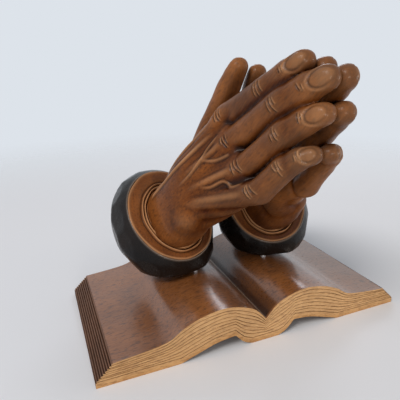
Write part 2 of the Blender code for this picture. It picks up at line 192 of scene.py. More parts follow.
def woodMaterial(name, spec):
    # hardwood cut with gouges, then stained and varnished
    material = bpy.data.materials.new(name)
    material.use_nodes = True
    tree = material.node_tree
    shader = tree.nodes["Principled BSDF"]
    space = addNode(tree, "ShaderNodeTexCoord").outputs["Object"]
    turned = addNode(tree, "ShaderNodeMapping", {"Vector": space},
                     {"Rotation": tuple(math.radians(a) for a in spec["grainTurn"])}).outputs[0]
    # after the turn the grain runs along X, so the noise is drawn out that way
    length, width = spec["streak"]
    streaks = addNode(tree, "ShaderNodeMapping", {"Vector": turned},
                      {"Scale": (1000 / length, 1000 / width, 1000 / width)}).outputs[0]
    grain = addNode(tree, "ShaderNodeTexNoise", {"Vector": streaks},
                    {"Scale": 1.0, "Detail": 4.0, "Roughness": 0.65}).outputs["Fac"]
    dashes = addNode(tree, "ShaderNodeMapping", {"Vector": turned},
                     {"Scale": (spec["poreShortness"], 1, 1)}).outputs[0]
    pores = addNode(tree, "ShaderNodeTexNoise", {"Vector": dashes},
                    {"Scale": 1000 / spec["poreSpacing"], "Detail": 2.0, "Roughness": 0.6}).outputs["Fac"]
    tree.links.new(woodColour(tree, spec, space, turned, grain, pores), shader.inputs["Base Color"])
    glossy, dull = spec["roughness"]
    gloss = addNode(tree, "ShaderNodeMapRange", {"Value": pores},
                    {"From Min": 0.3, "From Max": 0.7, "To Min": dull, "To Max": glossy}).outputs[0]
    tree.links.new(gloss, shader.inputs["Roughness"])
    facets = addNode(tree, "ShaderNodeTexNoise", {"Vector": turned},
                     {"Scale": 1000 / spec["toolMark"], "Detail": 1.0}).outputs["Fac"]
    marks = addNode(tree, "ShaderNodeBump", {"Height": facets},
                    {"Strength": spec["markStrength"], "Distance": spec["markDepth"] * mm})
    bump = addNode(tree, "ShaderNodeBump", {"Height": grain, "Normal": marks.outputs[0]},
                   {"Strength": spec["grainStrength"], "Distance": spec["grainDepth"] * mm})
    tree.links.new(bump.outputs[0], shader.inputs["Normal"])
    for socket, key in (("IOR", "ior"), ("Specular IOR Level", "specular"), ("Coat Weight", "coat"),
                        ("Coat Roughness", "coatRoughness"), ("Coat IOR", "coatIor")):
        shader.inputs[socket].default_value = spec[key]
    return material


# hands and cuffs: a red-brown hardwood, gouge-cut, rubbed down, stained and satin varnished.
# To the eye that is warm brown with dark cuts and paler ridges, where shade and highlight are painted in
# along with stain and wear, and soft pale reflections.
handWoodSpec = {
    "grainTurn": (42, 0, 90),      # degrees: the grain runs up along the fingers
    "streak": (24, 1.5),           # mm, length and width of a grain streak
    "patch": 38.0,                 # mm, slow changes of tone in the plank
    "poreSpacing": 1.7,            # mm, coarser than real so that the flecks show
    "poreShortness": 0.3,          # width of a fleck for its length
    "dark": "#331406",
    "middle": "#55280d",
    "light": "#7c471b",
    "patchDark": "#361406",
    "patchLight": "#8c5222",
    "patchShare": 0.55,
    "fleck": 0.5,                  # how dark the pores are against the wood
    "poreColour": "#351a0c",
    # cutColour is painted shade with the stain in the cuts; the pale colour below is wear with painted
    # highlight
    "cutColour": "#1d0c06",
    "wearAndHighlightColour": "#c8976c",
    "roughness": (0.3, 0.44),      # in the glossy and the dull places
    "toolMark": 9.0,               # mm, width of a gouge facet
    "markDepth": 1.2,              # mm
    "markStrength": 0.42,
    "grainDepth": 0.4,             # mm
    "grainStrength": 0.3,
    "ior": 1.45,
    "specular": 0.1,               # the varnish is thin and has sunk in
    "coat": 0.09,
    "coatRoughness": 0.12,
    "coatIor": 1.5,
}
# sleeves: the same wood stained black and varnished to a low gloss
blackWoodSpec = dict(
    handWoodSpec,
    dark="#060404", middle="#0c0807", light="#160f0b", patchDark="#050403", patchLight="#1e140e",
    # the pale colour is a painted glint along the sleeve rims
    poreColour="#050404", cutColour="#050303", wearAndHighlightColour="#77675b", fleck=0.2, ior=1.42,
    roughness=(0.24, 0.38), specular=0.22, coat=0.12, coatRoughness=0.14, markStrength=0.5,
)
# pages: flat-cut wood under a clear varnish, which mirrors a haze of what stands on it
pageWoodSpec = dict(
    handWoodSpec,
    grainTurn=(0, 0, 0), streak=(30, 2.2), patch=60.0, poreSpacing=1.8,
    dark="#5d381d", middle="#7d4e28", light="#956137", patchDark="#663a1d", patchLight="#965d31",
    # the pale colour is a painted highlight along the loose leaves' edges, and it also tints the paler outer
    # part of the page at +X
    patchShare=0.5, fleck=0.7, poreColour="#3b1f10", cutColour="#1f0e07", wearAndHighlightColour="#c09a78",
    roughness=(0.26, 0.38), toolMark=16.0, markStrength=0.14, grainStrength=0.12,
    specular=0.6, coat=0.7, coatRoughness=0.2,
    knots=({"at": (117.8, -52.3, 18.7), "radius": 2.0}, {"at": (124.6, -56.3, 18.1), "radius": 1.5}),
)
# ends of the pages and cover: golden wood, sawn, lined with a gouge and sealed
edgeWoodSpec = dict(
    handWoodSpec,
    grainTurn=(0, 0, 0), streak=(7, 1.1), patch=35.0, poreSpacing=1.6,
    dark="#8c6038", middle="#b48755", light="#d2a878", patchDark="#a57644", patchLight="#cfa16c",
    patchShare=0.4, poreColour="#7b4e2a", cutColour="#573016", wearAndHighlightColour="#dfc29a", fleck=0.6,
    roughness=(0.45, 0.62), toolMark=4.0, markStrength=0.4, grainStrength=0.5,
    coat=0.1, coatRoughness=0.4,
)
# fore edges: darker than the ends, with stain along the carved leaves and painted shade on these sides
foreEdgeSpec = dict(
    edgeWoodSpec,
    grainTurn=(0, 0, 90), streak=(26, 1.0), dark="#3a2014", middle="#573422", light="#764d37",
    patchDark="#402618", patchLight="#704a34", poreColour="#38221a", cutColour="#0d0604",
    wearAndHighlightColour="#957866", roughness=(0.45, 0.6), specular=0.15, coat=0.05,
)


def steelMaterial():
    # drawn steel rod, bright from the die, with fine lines along its length
    material = bpy.data.materials.new("drawnSteel")
    material.use_nodes = True
    tree = material.node_tree
    shader = tree.nodes["Principled BSDF"]
    space = addNode(tree, "ShaderNodeTexCoord").outputs["Object"]
    across, length = 2500, 60      # draw lines in a metre, across the rod and along it
    along = addNode(tree, "ShaderNodeMapping", {"Vector": space},
                    {"Scale": (across, across, length)}).outputs[0]
    lines = addNode(tree, "ShaderNodeTexNoise", {"Vector": along}, {"Scale": 1.0}).outputs["Fac"]
    tree.links.new(ramp(tree, lines, [(0.3, "#b9b9bc"), (0.7, "#d8d8da")]), shader.inputs["Base Color"])
    rough = addNode(tree, "ShaderNodeMapRange", {"Value": lines}, {"To Min": 0.28, "To Max": 0.42})
    tree.links.new(rough.outputs[0], shader.inputs["Roughness"])
    shader.inputs["Metallic"].default_value = 1.0
    return material


handWood = woodMaterial("varnishedCarvedHardwood", handWoodSpec)
blackWood = woodMaterial("blackStainedHardwood", blackWoodSpec)
pageWood = woodMaterial("glossVarnishedPageWood", pageWoodSpec)
edgeWood = woodMaterial("sealedSawnEdgeWood", edgeWoodSpec)
foreEdgeWood = woodMaterial("stainedAndShadedForeEdgeWood", foreEdgeSpec)
drawnSteel = steelMaterial()
print("materials ready")


# The book

book = {
    "lines": 8,                  # carved lines over the height of the page block
    "lineWidth": 0.9,            # mm
    "lineDepth": (0.3, 1.0),     # mm, varies as the gouge wandered
    "lineDrift": 0.42,           # mm, how far a line wanders up and down
    "coverDrift": 0.1,           # the same for the line between the pages and the cover
    "foreEdgeCut": (1.5, 1.5),   # mm, width and depth of the lines along the fore edges
    "coverLineDepth": 1.1,       # mm
    "columnStep": 1.4,           # mm across the front
    "fineColumns": (-5, 3, 0.3),   # mm from the gutter, where the columns are closer, and their step
    "pageRows": 60,              # from the front to the back
    "splitDepth": 3.0,           # open split by the spine, under the page at +X
    "leafLines": (-0.4, -2.9),   # mm from the gutter, edges of two loose leaves on the page at -X
    "leafRise": 0.7,             # mm
    "leafWidth": 0.65,           # mm
    # painted shade beside the gutter: share, mm from the gutter, width; the second is on the page at +X alone
    "gutterShade": ((0.75, 1.2, 2.2), (0.65, 5, 10)),
    "fading": (0.16, 40, 50),    # of the page at +X: share, mm from the gutter, mm that it grows over
    "sweep": 0.14,               # mm, height of the plane's slow waves
    "mostTint": 0.9,             # of painted shade with stain, and of wear with painted highlight
}
lineKinds = ("lip", "valley", "upperLip")      # each carved line is two lips with a valley between


def pageTop():
    s = shared
    flat = s["foreEdge"] + (s["pageCrest"] - s["foreEdge"]) * 0.2
    swell = s["swellFoot"] - s["crestOffset"]
    return smoothCurve([
        (0, s["gutterHeight"]),
        (s["crestOffset"] * 0.36, s["pageCrest"] - (s["pageCrest"] - s["gutterHeight"]) * 0.35),
        (s["crestOffset"], s["pageCrest"]),
        (s["crestOffset"] + swell * 0.4, s["pageCrest"] - 2.4),
        (s["crestOffset"] + swell * 0.7, (s["pageCrest"] + flat) / 2),
        (s["swellFoot"], flat),
        (s["bookWidth"] / 2 - s["foreLean"], s["foreEdge"]),
    ], 8)


def coverUnder():
    s = shared
    strip = s["spineWidth"] / 2
    flat = s["spineFlat"] / 2
    rounding = smoothCurve([(flat, 0), ((flat + strip) / 2, s["archRise"] * 0.32),
                            (strip, s["archRise"])], 5)
    arch = smoothCurve([(strip + 0.2, s["archRise"]),
                        (strip + s["archSpan"] * 0.35, s["archRise"] * 0.83),
                        (strip + s["archSpan"] * 0.7, s["archRise"] * 0.4),
                        (strip + s["archSpan"], 0)], 8)
    line = np.vstack([[(0, 0)], rounding, arch, [(s["bookWidth"] / 2, 0)]])
    line[:, 1] = np.maximum(line[:, 1], 0)
    return line


def heightOn(line, x):
    return np.interp(x, line[:, 0], line[:, 1])


def wander(x, seed, reach):
    # slow, repeatable drift along a hand-cut line
    return (np.sin(x / 23.0 + seed * 1.7) + 0.6 * np.sin(x / 9.0 + seed * 3.1)
            + 0.4 * np.sin(x / 4.1 + seed * 5.3)) / 2.0 * reach


def bookColumns():
    # places across the front from -1 to 1
    low, high, step = book["fineColumns"]
    fine = np.arange(low, high, step) / (shared["bookWidth"] / 2 - shared["foreLean"])
    even = np.linspace(-1, 1, int(shared["bookWidth"] / book["columnStep"]) + 1)
    return np.sort(np.concatenate([even[(even < fine[0]) | (even > fine[-1])], fine]))


def edgeRow(columns, row, end, top, under):
    # points and dark tint (painted shade with stain in the carved lines) of one row over the front (end -1)
    # or the back (end 1) of the book
    s = shared
    kind, share, line = row
    half = s["bookWidth"] / 2
    shift = {"lip": -0.5, "upperLip": 0.5}.get(kind, 0)
    x = columns * (half - s["foreLean"] * share)
    bottom = heightOn(under, abs(x)) + (0 if kind == "under" else s["coverBoard"])
    z = bottom + share * (heightOn(top, abs(x)) - bottom)
    cut = np.zeros_like(x)
    shadeAndStain = np.zeros_like(x)
    atSide = abs(columns) == 1
    # painted shade in the carved lines, darker where the gouge cut deeper, along with the stain gathered
    # there
    if kind == "valley":
        low, high = book["lineDepth"]
        uneven = np.sin(x / 9.0 + line * 2.3 + end) * np.cos(x / 3.7 + line)
        cut = low + (high - low) * (0.5 + 0.5 * uneven)
        shadeAndStain = cut / high
        if line == 0:
            # the cover line gets painted shade, and the open split by the spine is painted fully dark as
            # shade
            split = (x > s["spineWidth"] / 4) & (x < s["spineWidth"] / 2) & (end < 0)
            cut = np.where(split, book["splitDepth"], book["coverLineDepth"])
            shadeAndStain = np.where(split, 1.0, 0.75)
    if kind in lineKinds:
        drift = book["lineDrift"] if line else book["coverDrift"]
        z = z + wander(x, line + 4 * end, drift) + shift * book["lineWidth"]
        # along the fore edges the lines are cut square to the slope
        slope = math.atan2(s["foreEdge"] - s["coverBoard"], s["foreLean"])
        width, depth = book["foreEdgeCut"]
        aside = shift * width
        inwards = aside * math.cos(slope) + (depth * math.sin(slope) if kind == "valley" else 0)
        rise = aside * math.sin(slope) - (depth * math.cos(slope) if kind == "valley" else 0)
        onSlope = s["coverBoard"] + share * (s["foreEdge"] - s["coverBoard"])
        x = np.where(atSide, np.clip(x - np.sign(x) * inwards, -half, half), x)
        z = np.where(atSide, onSlope + rise, z)
    # along the fore edges the carved lines are painted fully dark as shade
    shadeAndStain = np.where(atSide, 1.0 if kind == "valley" else 0.0, shadeAndStain)
    y = end * (s["bookDepth"] / 2 - cut)
    return np.stack([x, y, z], 1), shadeAndStain


def pageRelief(x):
    # rise, painted shade with stain, and paleness (painted highlight and wear) across the pages, with two
    # loose leaves showing beside the gutter
    rise = np.zeros_like(x)
    (share, at, width), (rightShare, rightAt, rightWidth) = book["gutterShade"]
    # painted shade in the gutter, and a broader band of it on the inner slope of the page at +X
    shadeAndStain = share * bell(x - at, width) + rightShare * bell(x - rightAt, rightWidth) * (x > 0)
    share, start, reach = book["fading"]
    pale = share * np.clip((x - start) / reach, 0, 1)
    for line in book["leafLines"]:
        rise += book["leafRise"] * bell(x - line, book["leafWidth"])
        # each leaf edge gets a painted highlight along its top and a painted shadow just beside it, away from
        # the gutter
        pale += 0.9 * bell(x - line, book["leafWidth"])
        shadeAndStain += 0.8 * bell(x - line + 1.25, 0.5) - 0.6 * bell(x - line, 0.5)
    return rise, np.clip(shadeAndStain, 0, book["mostTint"]), np.clip(pale, 0, book["mostTint"])


def makeBook():
    s = shared
    top = pageTop()
    under = coverUnder()
    columns = bookColumns()
    count = len(columns) - 1
    rows = [("under", 0.0, 0)]
    for line in range(book["lines"]):
        rows += [(kind, line / book["lines"], line) for kind in lineKinds]
    rows.append(("top", 1.0, 0))
    co, hollow, raised, faces, woods = [], [], [], [], []
    page, edge, foreEdge = range(3)      # places in the list of materials

    def addRow(points, shadeAndStain, pale):
        first = len(co)
        co.extend(points)
        hollow.extend(np.broadcast_to(shadeAndStain, len(points)))
        raised.extend(np.broadcast_to(pale, len(points)))
        return np.arange(first, len(co))

    def addFace(face, wood, flipped=False):
        faces.append(face[::-1] if flipped else face)
        woods.append(wood)

    # lips of the carved lines are painted paler as highlight, with some wear
    wearAndHighlight = {"lip": 0.2, "upperLip": 0.3, "top": 0.1}
    grids = {}
    for end in (-1, 1):
        grids[end] = np.array([addRow(*edgeRow(columns, row, end, top, under), wearAndHighlight.get(row[0], 0.0))
                               for row in rows])
        for lower, upper in zip(grids[end], grids[end][1:]):
            for i in range(count):
                addFace((lower[i], lower[i + 1], upper[i + 1], upper[i]), edge, flipped=end > 0)
    # fore edges: the same lines carry on round the corner
    for column in (0, count):
        front = grids[-1][:, column]
        back = grids[1][:, column]
        for i in range(len(rows) - 1):
            addFace((front[i], back[i], back[i + 1], front[i + 1]), foreEdge, flipped=column == 0)
    for i in range(count):
        addFace((grids[-1][0][i + 1], grids[-1][0][i], grids[1][0][i], grids[1][0][i + 1]), foreEdge)
    # the pages, planed by hand
    x = columns * (s["bookWidth"] / 2 - s["foreLean"])
    level = heightOn(top, abs(x))
    rise, shadeAndStain, pale = pageRelief(x)
    previous = grids[-1][-1]
    for step in range(1, book["pageRows"] + 1):
        y = (step / book["pageRows"] - 0.5) * s["bookDepth"]
        if step == book["pageRows"]:
            current = grids[1][-1]
        else:
            waves = book["sweep"] * np.sin(x / 11 + y / 17) * np.cos(y / 13 - x / 29)
            points = np.stack([x, np.full_like(x, y), level + rise + waves - book["sweep"]], 1)
            current = addRow(points, shadeAndStain, pale)
        for i in range(count):
            addFace((previous[i], previous[i + 1], current[i + 1], current[i]), page)
        previous = current
    obj = addPiece("carvedBook", np.array(co) * mm, faces, [pageWood, edgeWood, foreEdgeWood], woods,
                   replaces=("book_base",), crisp=30)
    storeValue(obj, "hollow", hollow)
    storeValue(obj, "raised", raised)


makeBook()
print("book carved")


# The sleeves and cuffs

sleeve = {
    "narrowing": 0.85,        # width of the sleeve for its height
    "sides": 176,
    "rimRadius": 47.0,
    "fullRadius": 58.5,
    "full": 18.0,             # mm behind the rim
    "length": 50.0,
    "lip": 0.8,               # mm of black in front, outside the cuff
    "flats": ((-20, 13), (18, 12), (52, 9)),   # rounds of gouge flats: lean in degrees, how many
    "flatDepth": (0.9, 2.3),  # mm cut away at the middle of a flat
    "flatStart": (1.5, 4.0),  # mm behind the rim where the flats start, and mm that they grow over
    # the rim's rows get a painted highlight along the black rim
    "rimHighlight": (0.2, 0.85, 0.75, 0.25),
}
# across the cuff from the wrist outwards: mm in front of the rim, radius, painted shade (in the opening,
# between the ridges and under the black lip), paleness (painted highlight on the ridges and the rim, with
# wear)
cuff = {
    "section": (
        (-7.5, 27.2, 0.6, 0), (-2.0, 27.6, 0.45, 0), (1.2, 28.2, 0.2, 0.1), (1.9, 29.0, 0.0, 0.3),
        (1.7, 29.8, 0.1, 0.1), (0.7, 30.4, 0.75, 0), (2.2, 31.1, 0.1, 0.4), (3.4, 31.9, 0.0, 0.8),
        (2.2, 32.7, 0.1, 0.3), (0.9, 33.4, 0.8, 0), (2.2, 34.1, 0.1, 0.4), (3.4, 34.9, 0.0, 0.75),
        (2.0, 35.7, 0.1, 0.2), (0.7, 36.5, 0.7, 0), (1.2, 37.6, 0.1, 0.1), (1.5, 40.0, 0.0, 0.05),
        (0.9, 43.6, 0.0, 0.05), (1.1, 45.0, 0.0, 0.35), (0.6, 46.1, 0.0, 0.45), (-1.5, 46.2, 0.9, 0),
        (-4.0, 45.4, 0.9, 0),
    ),
    "unevenness": 0.2,        # mm
    "drop": 4.0,              # mm, the opening sits this much below the middle of the rim
    "opening": 0.79,          # width of the opening for its height
    "spread": (36.0, 45.0),   # radii between which the band passes from the opening to the rim
}


def forearmAxes(side):
    lean = math.radians(shared["forearmLean"])
    splay = math.radians(shared["forearmSplay"])
    back = np.array([side * math.sin(splay) * math.cos(lean), math.cos(splay) * math.cos(lean),
                     -math.sin(lean)])
    up = np.array([0, 0, 1.0]) - back * back[2]
    up /= np.linalg.norm(up)
    return back, up, np.cross(back, up)


def rimMiddle(side):
    out, y, z = shared["rim"]
    return np.array([side * out, y, z])


def ringsRound(side, section, unevenness, drop=0.0, opening=sleeve["narrowing"]):
    # rows of (behind the rim, radius) turned about the forearm, in mm
    back, up, across = forearmAxes(side)
    angles = np.arange(sleeve["sides"]) * 2 * math.pi / sleeve["sides"]
    rows = []
    for behind, radius in section:
        r = radius + unevenness * (np.sin(angles * 5 + side) + np.sin(angles * 9 + radius / 2)
                                   + np.sin(angles * 3 - behind / 4 + side * 2))
        share = np.interp(radius, cuff["spread"], (0, 1))
        narrowing = opening + (sleeve["narrowing"] - opening) * share
        rows.append(rimMiddle(side) + back * behind - up * drop * (1 - share)
                    + np.outer(np.cos(angles) * r * narrowing, across)
                    + np.outer(np.sin(angles) * r, up))
    return np.array(rows)


def closeRings(name, rows, material, hollow, raised):
    # one closed piece from rings of points, each end gathered to its middle
    count, sides = rows.shape[:2]
    co = rows.reshape(-1, 3)
    co[:, 2] = np.maximum(co[:, 2], shared["sleeveBase"])
    bm = bmesh.new()
    verts = [bm.verts.new(p * mm) for p in co]
    for j in range(count - 1):
        for i in range(sides):
            a, b = j * sides + i, j * sides + (i + 1) % sides
            bm.faces.new((verts[a], verts[b], verts[b + sides], verts[a + sides]))
    ends = [0, count - 1]
    for j in ends:
        ring = verts[j * sides:(j + 1) * sides]
        middle = bm.verts.new(sum((v.co for v in ring), Vector()) / sides)
        for i in range(sides):
            bm.faces.new((ring[i], ring[(i + 1) % sides], middle))
    bmesh.ops.recalc_face_normals(bm, faces=bm.faces)
    bm.verts.index_update()
    points = [v.co[:] for v in bm.verts]
    faces = [[v.index for v in f.verts] for f in bm.faces]
    bm.free()
    obj = addPiece(name, points, faces, [material], crisp=60)
    for attribute, values in (("hollow", hollow), ("raised", raised)):
        storeValue(obj, attribute, np.append(np.repeat(values, sides), values[ends]))


def sleeveOutside():
    # the outside as (behind the rim, radius)
    r, full, length = sleeve["rimRadius"], sleeve["fullRadius"], sleeve["length"]
    return smoothCurve([(0, r), (sleeve["full"] * 0.45, (r + full) / 2 + 1), (sleeve["full"], full),
                        (length * 0.68, full * 0.93), (length * 0.9, full * 0.78),
                        (length, full * 0.55)], 8)


def cutFlats(side, rows, behind):
    # the carver left gouge flats all round, but not on the rim
    back, up, across = forearmAxes(side)
    heart = rimMiddle(side) + back * sleeve["full"] * 1.1
    arms = rows - heart
    shrink = np.ones(rows.shape[:2])
    for lean, number in sleeve["flats"]:
        for k in range(number):
            turn = 2 * math.pi * (k + rng.uniform(-0.25, 0.25)) / number
            tilt = math.radians(lean + rng.uniform(-8, 8))
            outwards = across * math.cos(turn) + up * math.sin(turn)
            facing = outwards * math.cos(tilt) + back * math.sin(tilt)
            along = arms @ facing
            cutAt = along.max() - rng.uniform(*sleeve["flatDepth"])
            shrink = np.where(along > 0, np.minimum(shrink, cutAt / np.maximum(along, 1e-6)), shrink)
    start, reach = sleeve["flatStart"]
    share = np.clip((behind - start) / reach, 0, 1)[:, None]
    return heart + arms * (1 - share * (1 - shrink))[:, :, None]


def makeSleeve(side, word):
    inner = sleeve["rimRadius"] - sleeve["lip"]
    section = np.vstack([[(4.0, inner - 0.5), (0.6, inner), (0.0, inner + 0.3)], sleeveOutside()])
    rows = cutFlats(side, ringsRound(side, section, 0.0), section[:, 0])
    # the rim rows carry the painted highlight
    pale = np.zeros(len(section))
    pale[1:1 + len(sleeve["rimHighlight"])] = sleeve["rimHighlight"]
    closeRings(word + "Sleeve", rows, blackWood, np.zeros(len(section)), pale)


def makeCuff(side, word):
    section = smoothCurve(cuff["section"], 3)
    rows = ringsRound(side, np.stack([-section[:, 0], section[:, 1]], 1), cuff["unevenness"],
                      cuff["drop"], cuff["opening"])
    closeRings(word + "Cuff", rows, handWood, np.clip(section[:, 2], 0, 1), np.clip(section[:, 3], 0, 1))


for side, word in ((-1, "right"), (1, "left")):
    makeSleeve(side, word)
    makeCuff(side, word)
print("sleeves and cuffs turned")


# The hands

# the knuckle is (forward, up) from the middle of the sleeve's rim; each bone is its length and its
# rise in degrees, less the sag on the left hand; the rest is at the knuckle, the two joints and the
# tip, in mm
fingers = {
    "index": {"knuckle": (55, 91.5), "sag": 3, "bones": ((48, 27), (23, 28), (18.5, 32)),
              "outs": (18.5, 13, 10, 7), "widths": (21, 17.5, 16, 13), "thick": (20, 17, 16, 15.2)},
    "middle": {"knuckle": (69, 75), "sag": 0, "bones": ((56, 32.5), (23.5, 26.5), (20.5, 26)),
               "outs": (19.5, 13.5, 9.5, 6.2), "widths": (22, 19.5, 18.5, 14.5), "thick": (21, 18, 16, 14.2)},
    "ring": {"knuckle": (87, 59.5), "sag": 0, "bones": ((44.5, 38), (20.5, 32), (17.5, 24)),
             "outs": (19.5, 14.5, 10, 7), "widths": (21, 19, 17, 13.5), "thick": (20, 17, 15.5, 15.2)},
    "little": {"knuckle": (103.5, 46), "sag": 0, "bones": ((30, 43.5), (13.5, 36), (12, 27)),
               "outs": (19, 14.5, 11, 6.4), "widths": (19, 16.5, 14.5, 12), "thick": (18, 15.5, 14, 14)},
}
# routes of (out, forward, up, width, thickness)
hand = {
    "thumb": ((34, 15, 36, 24, 26), (26, 18, 56, 23, 24), (19, 22, 78, 21, 21), (14.5, 28, 94, 18, 18),
              (11, 38, 111, 18, 18), (8, 49, 127, 13, 15)),
    "thumbDrop": 5.0,         # mm, at the tip of the left thumb
    "palm": ((50, -5, -9, 58, 48), (47, 22, 10, 59, 44), (40, 37.5, 32.5, 60, 37),
             (29, 57, 51.5, 74, 28), (20, 75, 67.5, 79, 20)),
    "heel": ((47, 28, -1, 33, 36), (41, 42, 11, 28, 32), (28, 55, 21.5, 24, 27),
             (21, 75, 35.5, 22, 24), (19, 93, 43.5, 20, 20)),
    "slimming": 0.965,        # of a bone in its middle
    "voxel": 0.85,            # mm
    "relax": 7,               # rounds of rubbing down
}
# heights, depths and widths of the cuts, in mm
carving = {
    "boneGroove": (1.1, 3.2),   # depth and width between the bones of the palm
    "wristBone": {"at": (56, 53.5, 11.5), "rise": 2.2, "radius": 8.5},
    "swelling": (1.3, 0.75, 0.3),   # over the knuckle and the two joints
    # cuts over the same three: how many, from one to the next, half length
    "creases": ((3, 2.9, 6.2), (3, 2.7, 5.4), (2, 2.5, 4.0)),
    "crease": (0.9, 0.85),      # depth and width
    "creaseLip": 0.4,
    "nailBed": 0.25,
    "nailGroove": (0.45, 0.65),
    "nailLip": (0.3, 0.6),
    "reach": 20,                # along the finger from a joint
}


def stationPoint(side, station):
    # from (out, forward, up, width, thickness) to a place in the frame, still in mm
    rim = rimMiddle(side)
    out, forward, up = station[:3]
    return [side * out, rim[1] - forward, rim[2] + up] + list(station[3:])


def fingerRoute(side, finger):
    forward, up = finger["knuckle"]
    sag = finger["sag"] if side > 0 else 0
    route = [(finger["outs"][0], forward, up, finger["widths"][0], finger["thick"][0])]
    for i, (length, rise) in enumerate(finger["bones"], 1):
        reach = length if i < 3 else length - finger["thick"][3] / 2
        angle = math.radians(rise - sag)
        forward += reach * math.cos(angle)
        up += reach * math.sin(angle)
        route.append((finger["outs"][i], forward, up, finger["widths"][i], finger["thick"][i]))
    return route


def thumbRoute(side):
    drop = hand["thumbDrop"] if side > 0 else 0
    return [(o, f, u - drop * max(0, i - 2) / 3, w, t) for i, (o, f, u, w, t) in enumerate(hand["thumb"])]


def fleshed(route):
    # bones are slimmer in the middle than at the joints
    full = [route[0]]
    for a, b in zip(route, route[1:]):
        middle = (np.array(a, float) + np.array(b, float)) / 2
        middle[3:] *= hand["slimming"]
        full += [middle, b]
    return full


def addLimb(bm, stations, squareness=2.3, count=36):
    route = smoothCurve(stations, 5)
    centres = route[:, :3]
    last = len(route) - 1
    rings = []
    for i, station in enumerate(route):
        along = centres[min(i + 1, last)] - centres[max(i - 1, 0)]
        along /= np.linalg.norm(along)
        thick = np.array([1.0, 0, 0]) - along * along[0]
        thick /= np.linalg.norm(thick)
        across = np.cross(along, thick)
        angles = np.arange(count) * 2 * math.pi / count
        swell = (abs(np.cos(angles)) ** squareness + abs(np.sin(angles)) ** squareness) ** (-1 / squareness)

        def ring(centre, share):
            return (centre + np.outer(np.cos(angles) * swell * station[3] / 2 * share, across)
                    + np.outer(np.sin(angles) * swell * station[4] / 2 * share, thick))

        body = ring(centres[i], 1)
        dome = []
        if i in (0, last):      # a dome closes each end
            outwards = along if i else -along
            for angle in np.radians((20, 40, 58, 74)):
                dome.append(ring(centres[i] + outwards * station[4] / 2 * math.sin(angle), math.cos(angle)))
        rings += dome[::-1] + [body] if i == 0 else [body] + dome
    loops = [[bm.verts.new(p * mm) for p in points] for points in rings]
    for lower, upper in zip(loops, loops[1:]):
        for i in range(count):
            bm.faces.new((lower[i], lower[(i + 1) % count], upper[(i + 1) % count], upper[i]))
    bm.faces.new(loops[0])
    bm.faces.new(loops[-1])


def roughHand(side):
    bm = bmesh.new()
    palm = [stationPoint(side, s) for s in hand["palm"]]
    for finger in fingers.values():
        route = fingerRoute(side, finger)
        addLimb(bm, [stationPoint(side, s) for s in fleshed(route)])
        knuckle = stationPoint(side, route[0])
        root = list(palm[2])
        root[0] += side * (root[4] - knuckle[4]) / 2
        root[1] += (knuckle[1] - palm[4][1]) * 0.4
        root[2] += (knuckle[2] - palm[4][2]) * 0.4
        root[3] = knuckle[3] * 0.7
        root[4] = knuckle[4] * 0.9
        addLimb(bm, (root, knuckle))
    addLimb(bm, [stationPoint(side, s) for s in thumbRoute(side)])
    addLimb(bm, palm, 2.5)
    addLimb(bm, [stationPoint(side, s) for s in hand["heel"]])
    bmesh.ops.recalc_face_normals(bm, faces=bm.faces)
    mesh = bpy.data.meshes.new("rough")
    bm.to_mesh(mesh)
    bm.free()
    obj = addObject("rough", mesh)
    remesh = obj.modifiers.new("remesh", "REMESH")
    remesh.mode = "VOXEL"
    remesh.voxel_size = hand["voxel"] * mm * 1
    done = obj.evaluated_get(bpy.context.evaluated_depsgraph_get()).to_mesh()
    co = np.empty(len(done.vertices) * 3, np.float32)
    done.vertices.foreach_get("co", co)
    quads = np.empty(len(done.polygons) * 4, np.int32)
    done.polygons.foreach_get("vertices", quads)
    bpy.data.objects.remove(obj)
    return co.reshape(-1, 3).astype(float) / mm, quads.reshape(-1, 4)


class Surface:
    # a mesh as arrays, for carving
    def __init__(self, co, quads):
        self.co = co
        self.quads = quads
        pairs = np.vstack([quads[:, [i, (i + 1) % 4]] for i in range(4)])
        pairs = np.unique(np.sort(pairs, 1), axis=0)
        self.a, self.b = pairs[:, 0], pairs[:, 1]
        self.degree = np.bincount(pairs.ravel(), minlength=len(co)).astype(float)

    def average(self, values):
        n = len(self.co)
        if values.ndim == 1:
            total = np.bincount(self.a, values[self.b], n) + np.bincount(self.b, values[self.a], n)
            return total / self.degree
        return np.stack([self.average(values[:, i]) for i in range(values.shape[1])], 1)

    def relax(self, times, share=0.5):
        for _ in range(times):
            self.co = self.co * (1 - share) + self.average(self.co) * share

    def normals(self):
        p = self.co[self.quads]
        n = np.cross(p[:, 2] - p[:, 0], p[:, 3] - p[:, 1])
        total = np.zeros_like(self.co)
        for i in range(4):
            for k in range(3):
                total[:, k] += np.bincount(self.quads[:, i], n[:, k], len(self.co))
        return total / np.maximum(np.linalg.norm(total, axis=1), 1e-12)[:, None]


def nearLine(points, line):
    # distance to a line of points, and how far along it (0 to 1)
    best = np.full(len(points), 1e9)
    along = np.zeros(len(points))
    for i in range(len(line) - 1):
        d = line[i + 1] - line[i]
        t = np.clip(((points - line[i]) @ d) / (d @ d), 0, 1)
        gap = np.linalg.norm(points - line[i] - t[:, None] * d, axis=1)
        closer = gap < best
        best[closer] = gap[closer]
        along[closer] = (i + t[closer]) / (len(line) - 1)
    return best, along


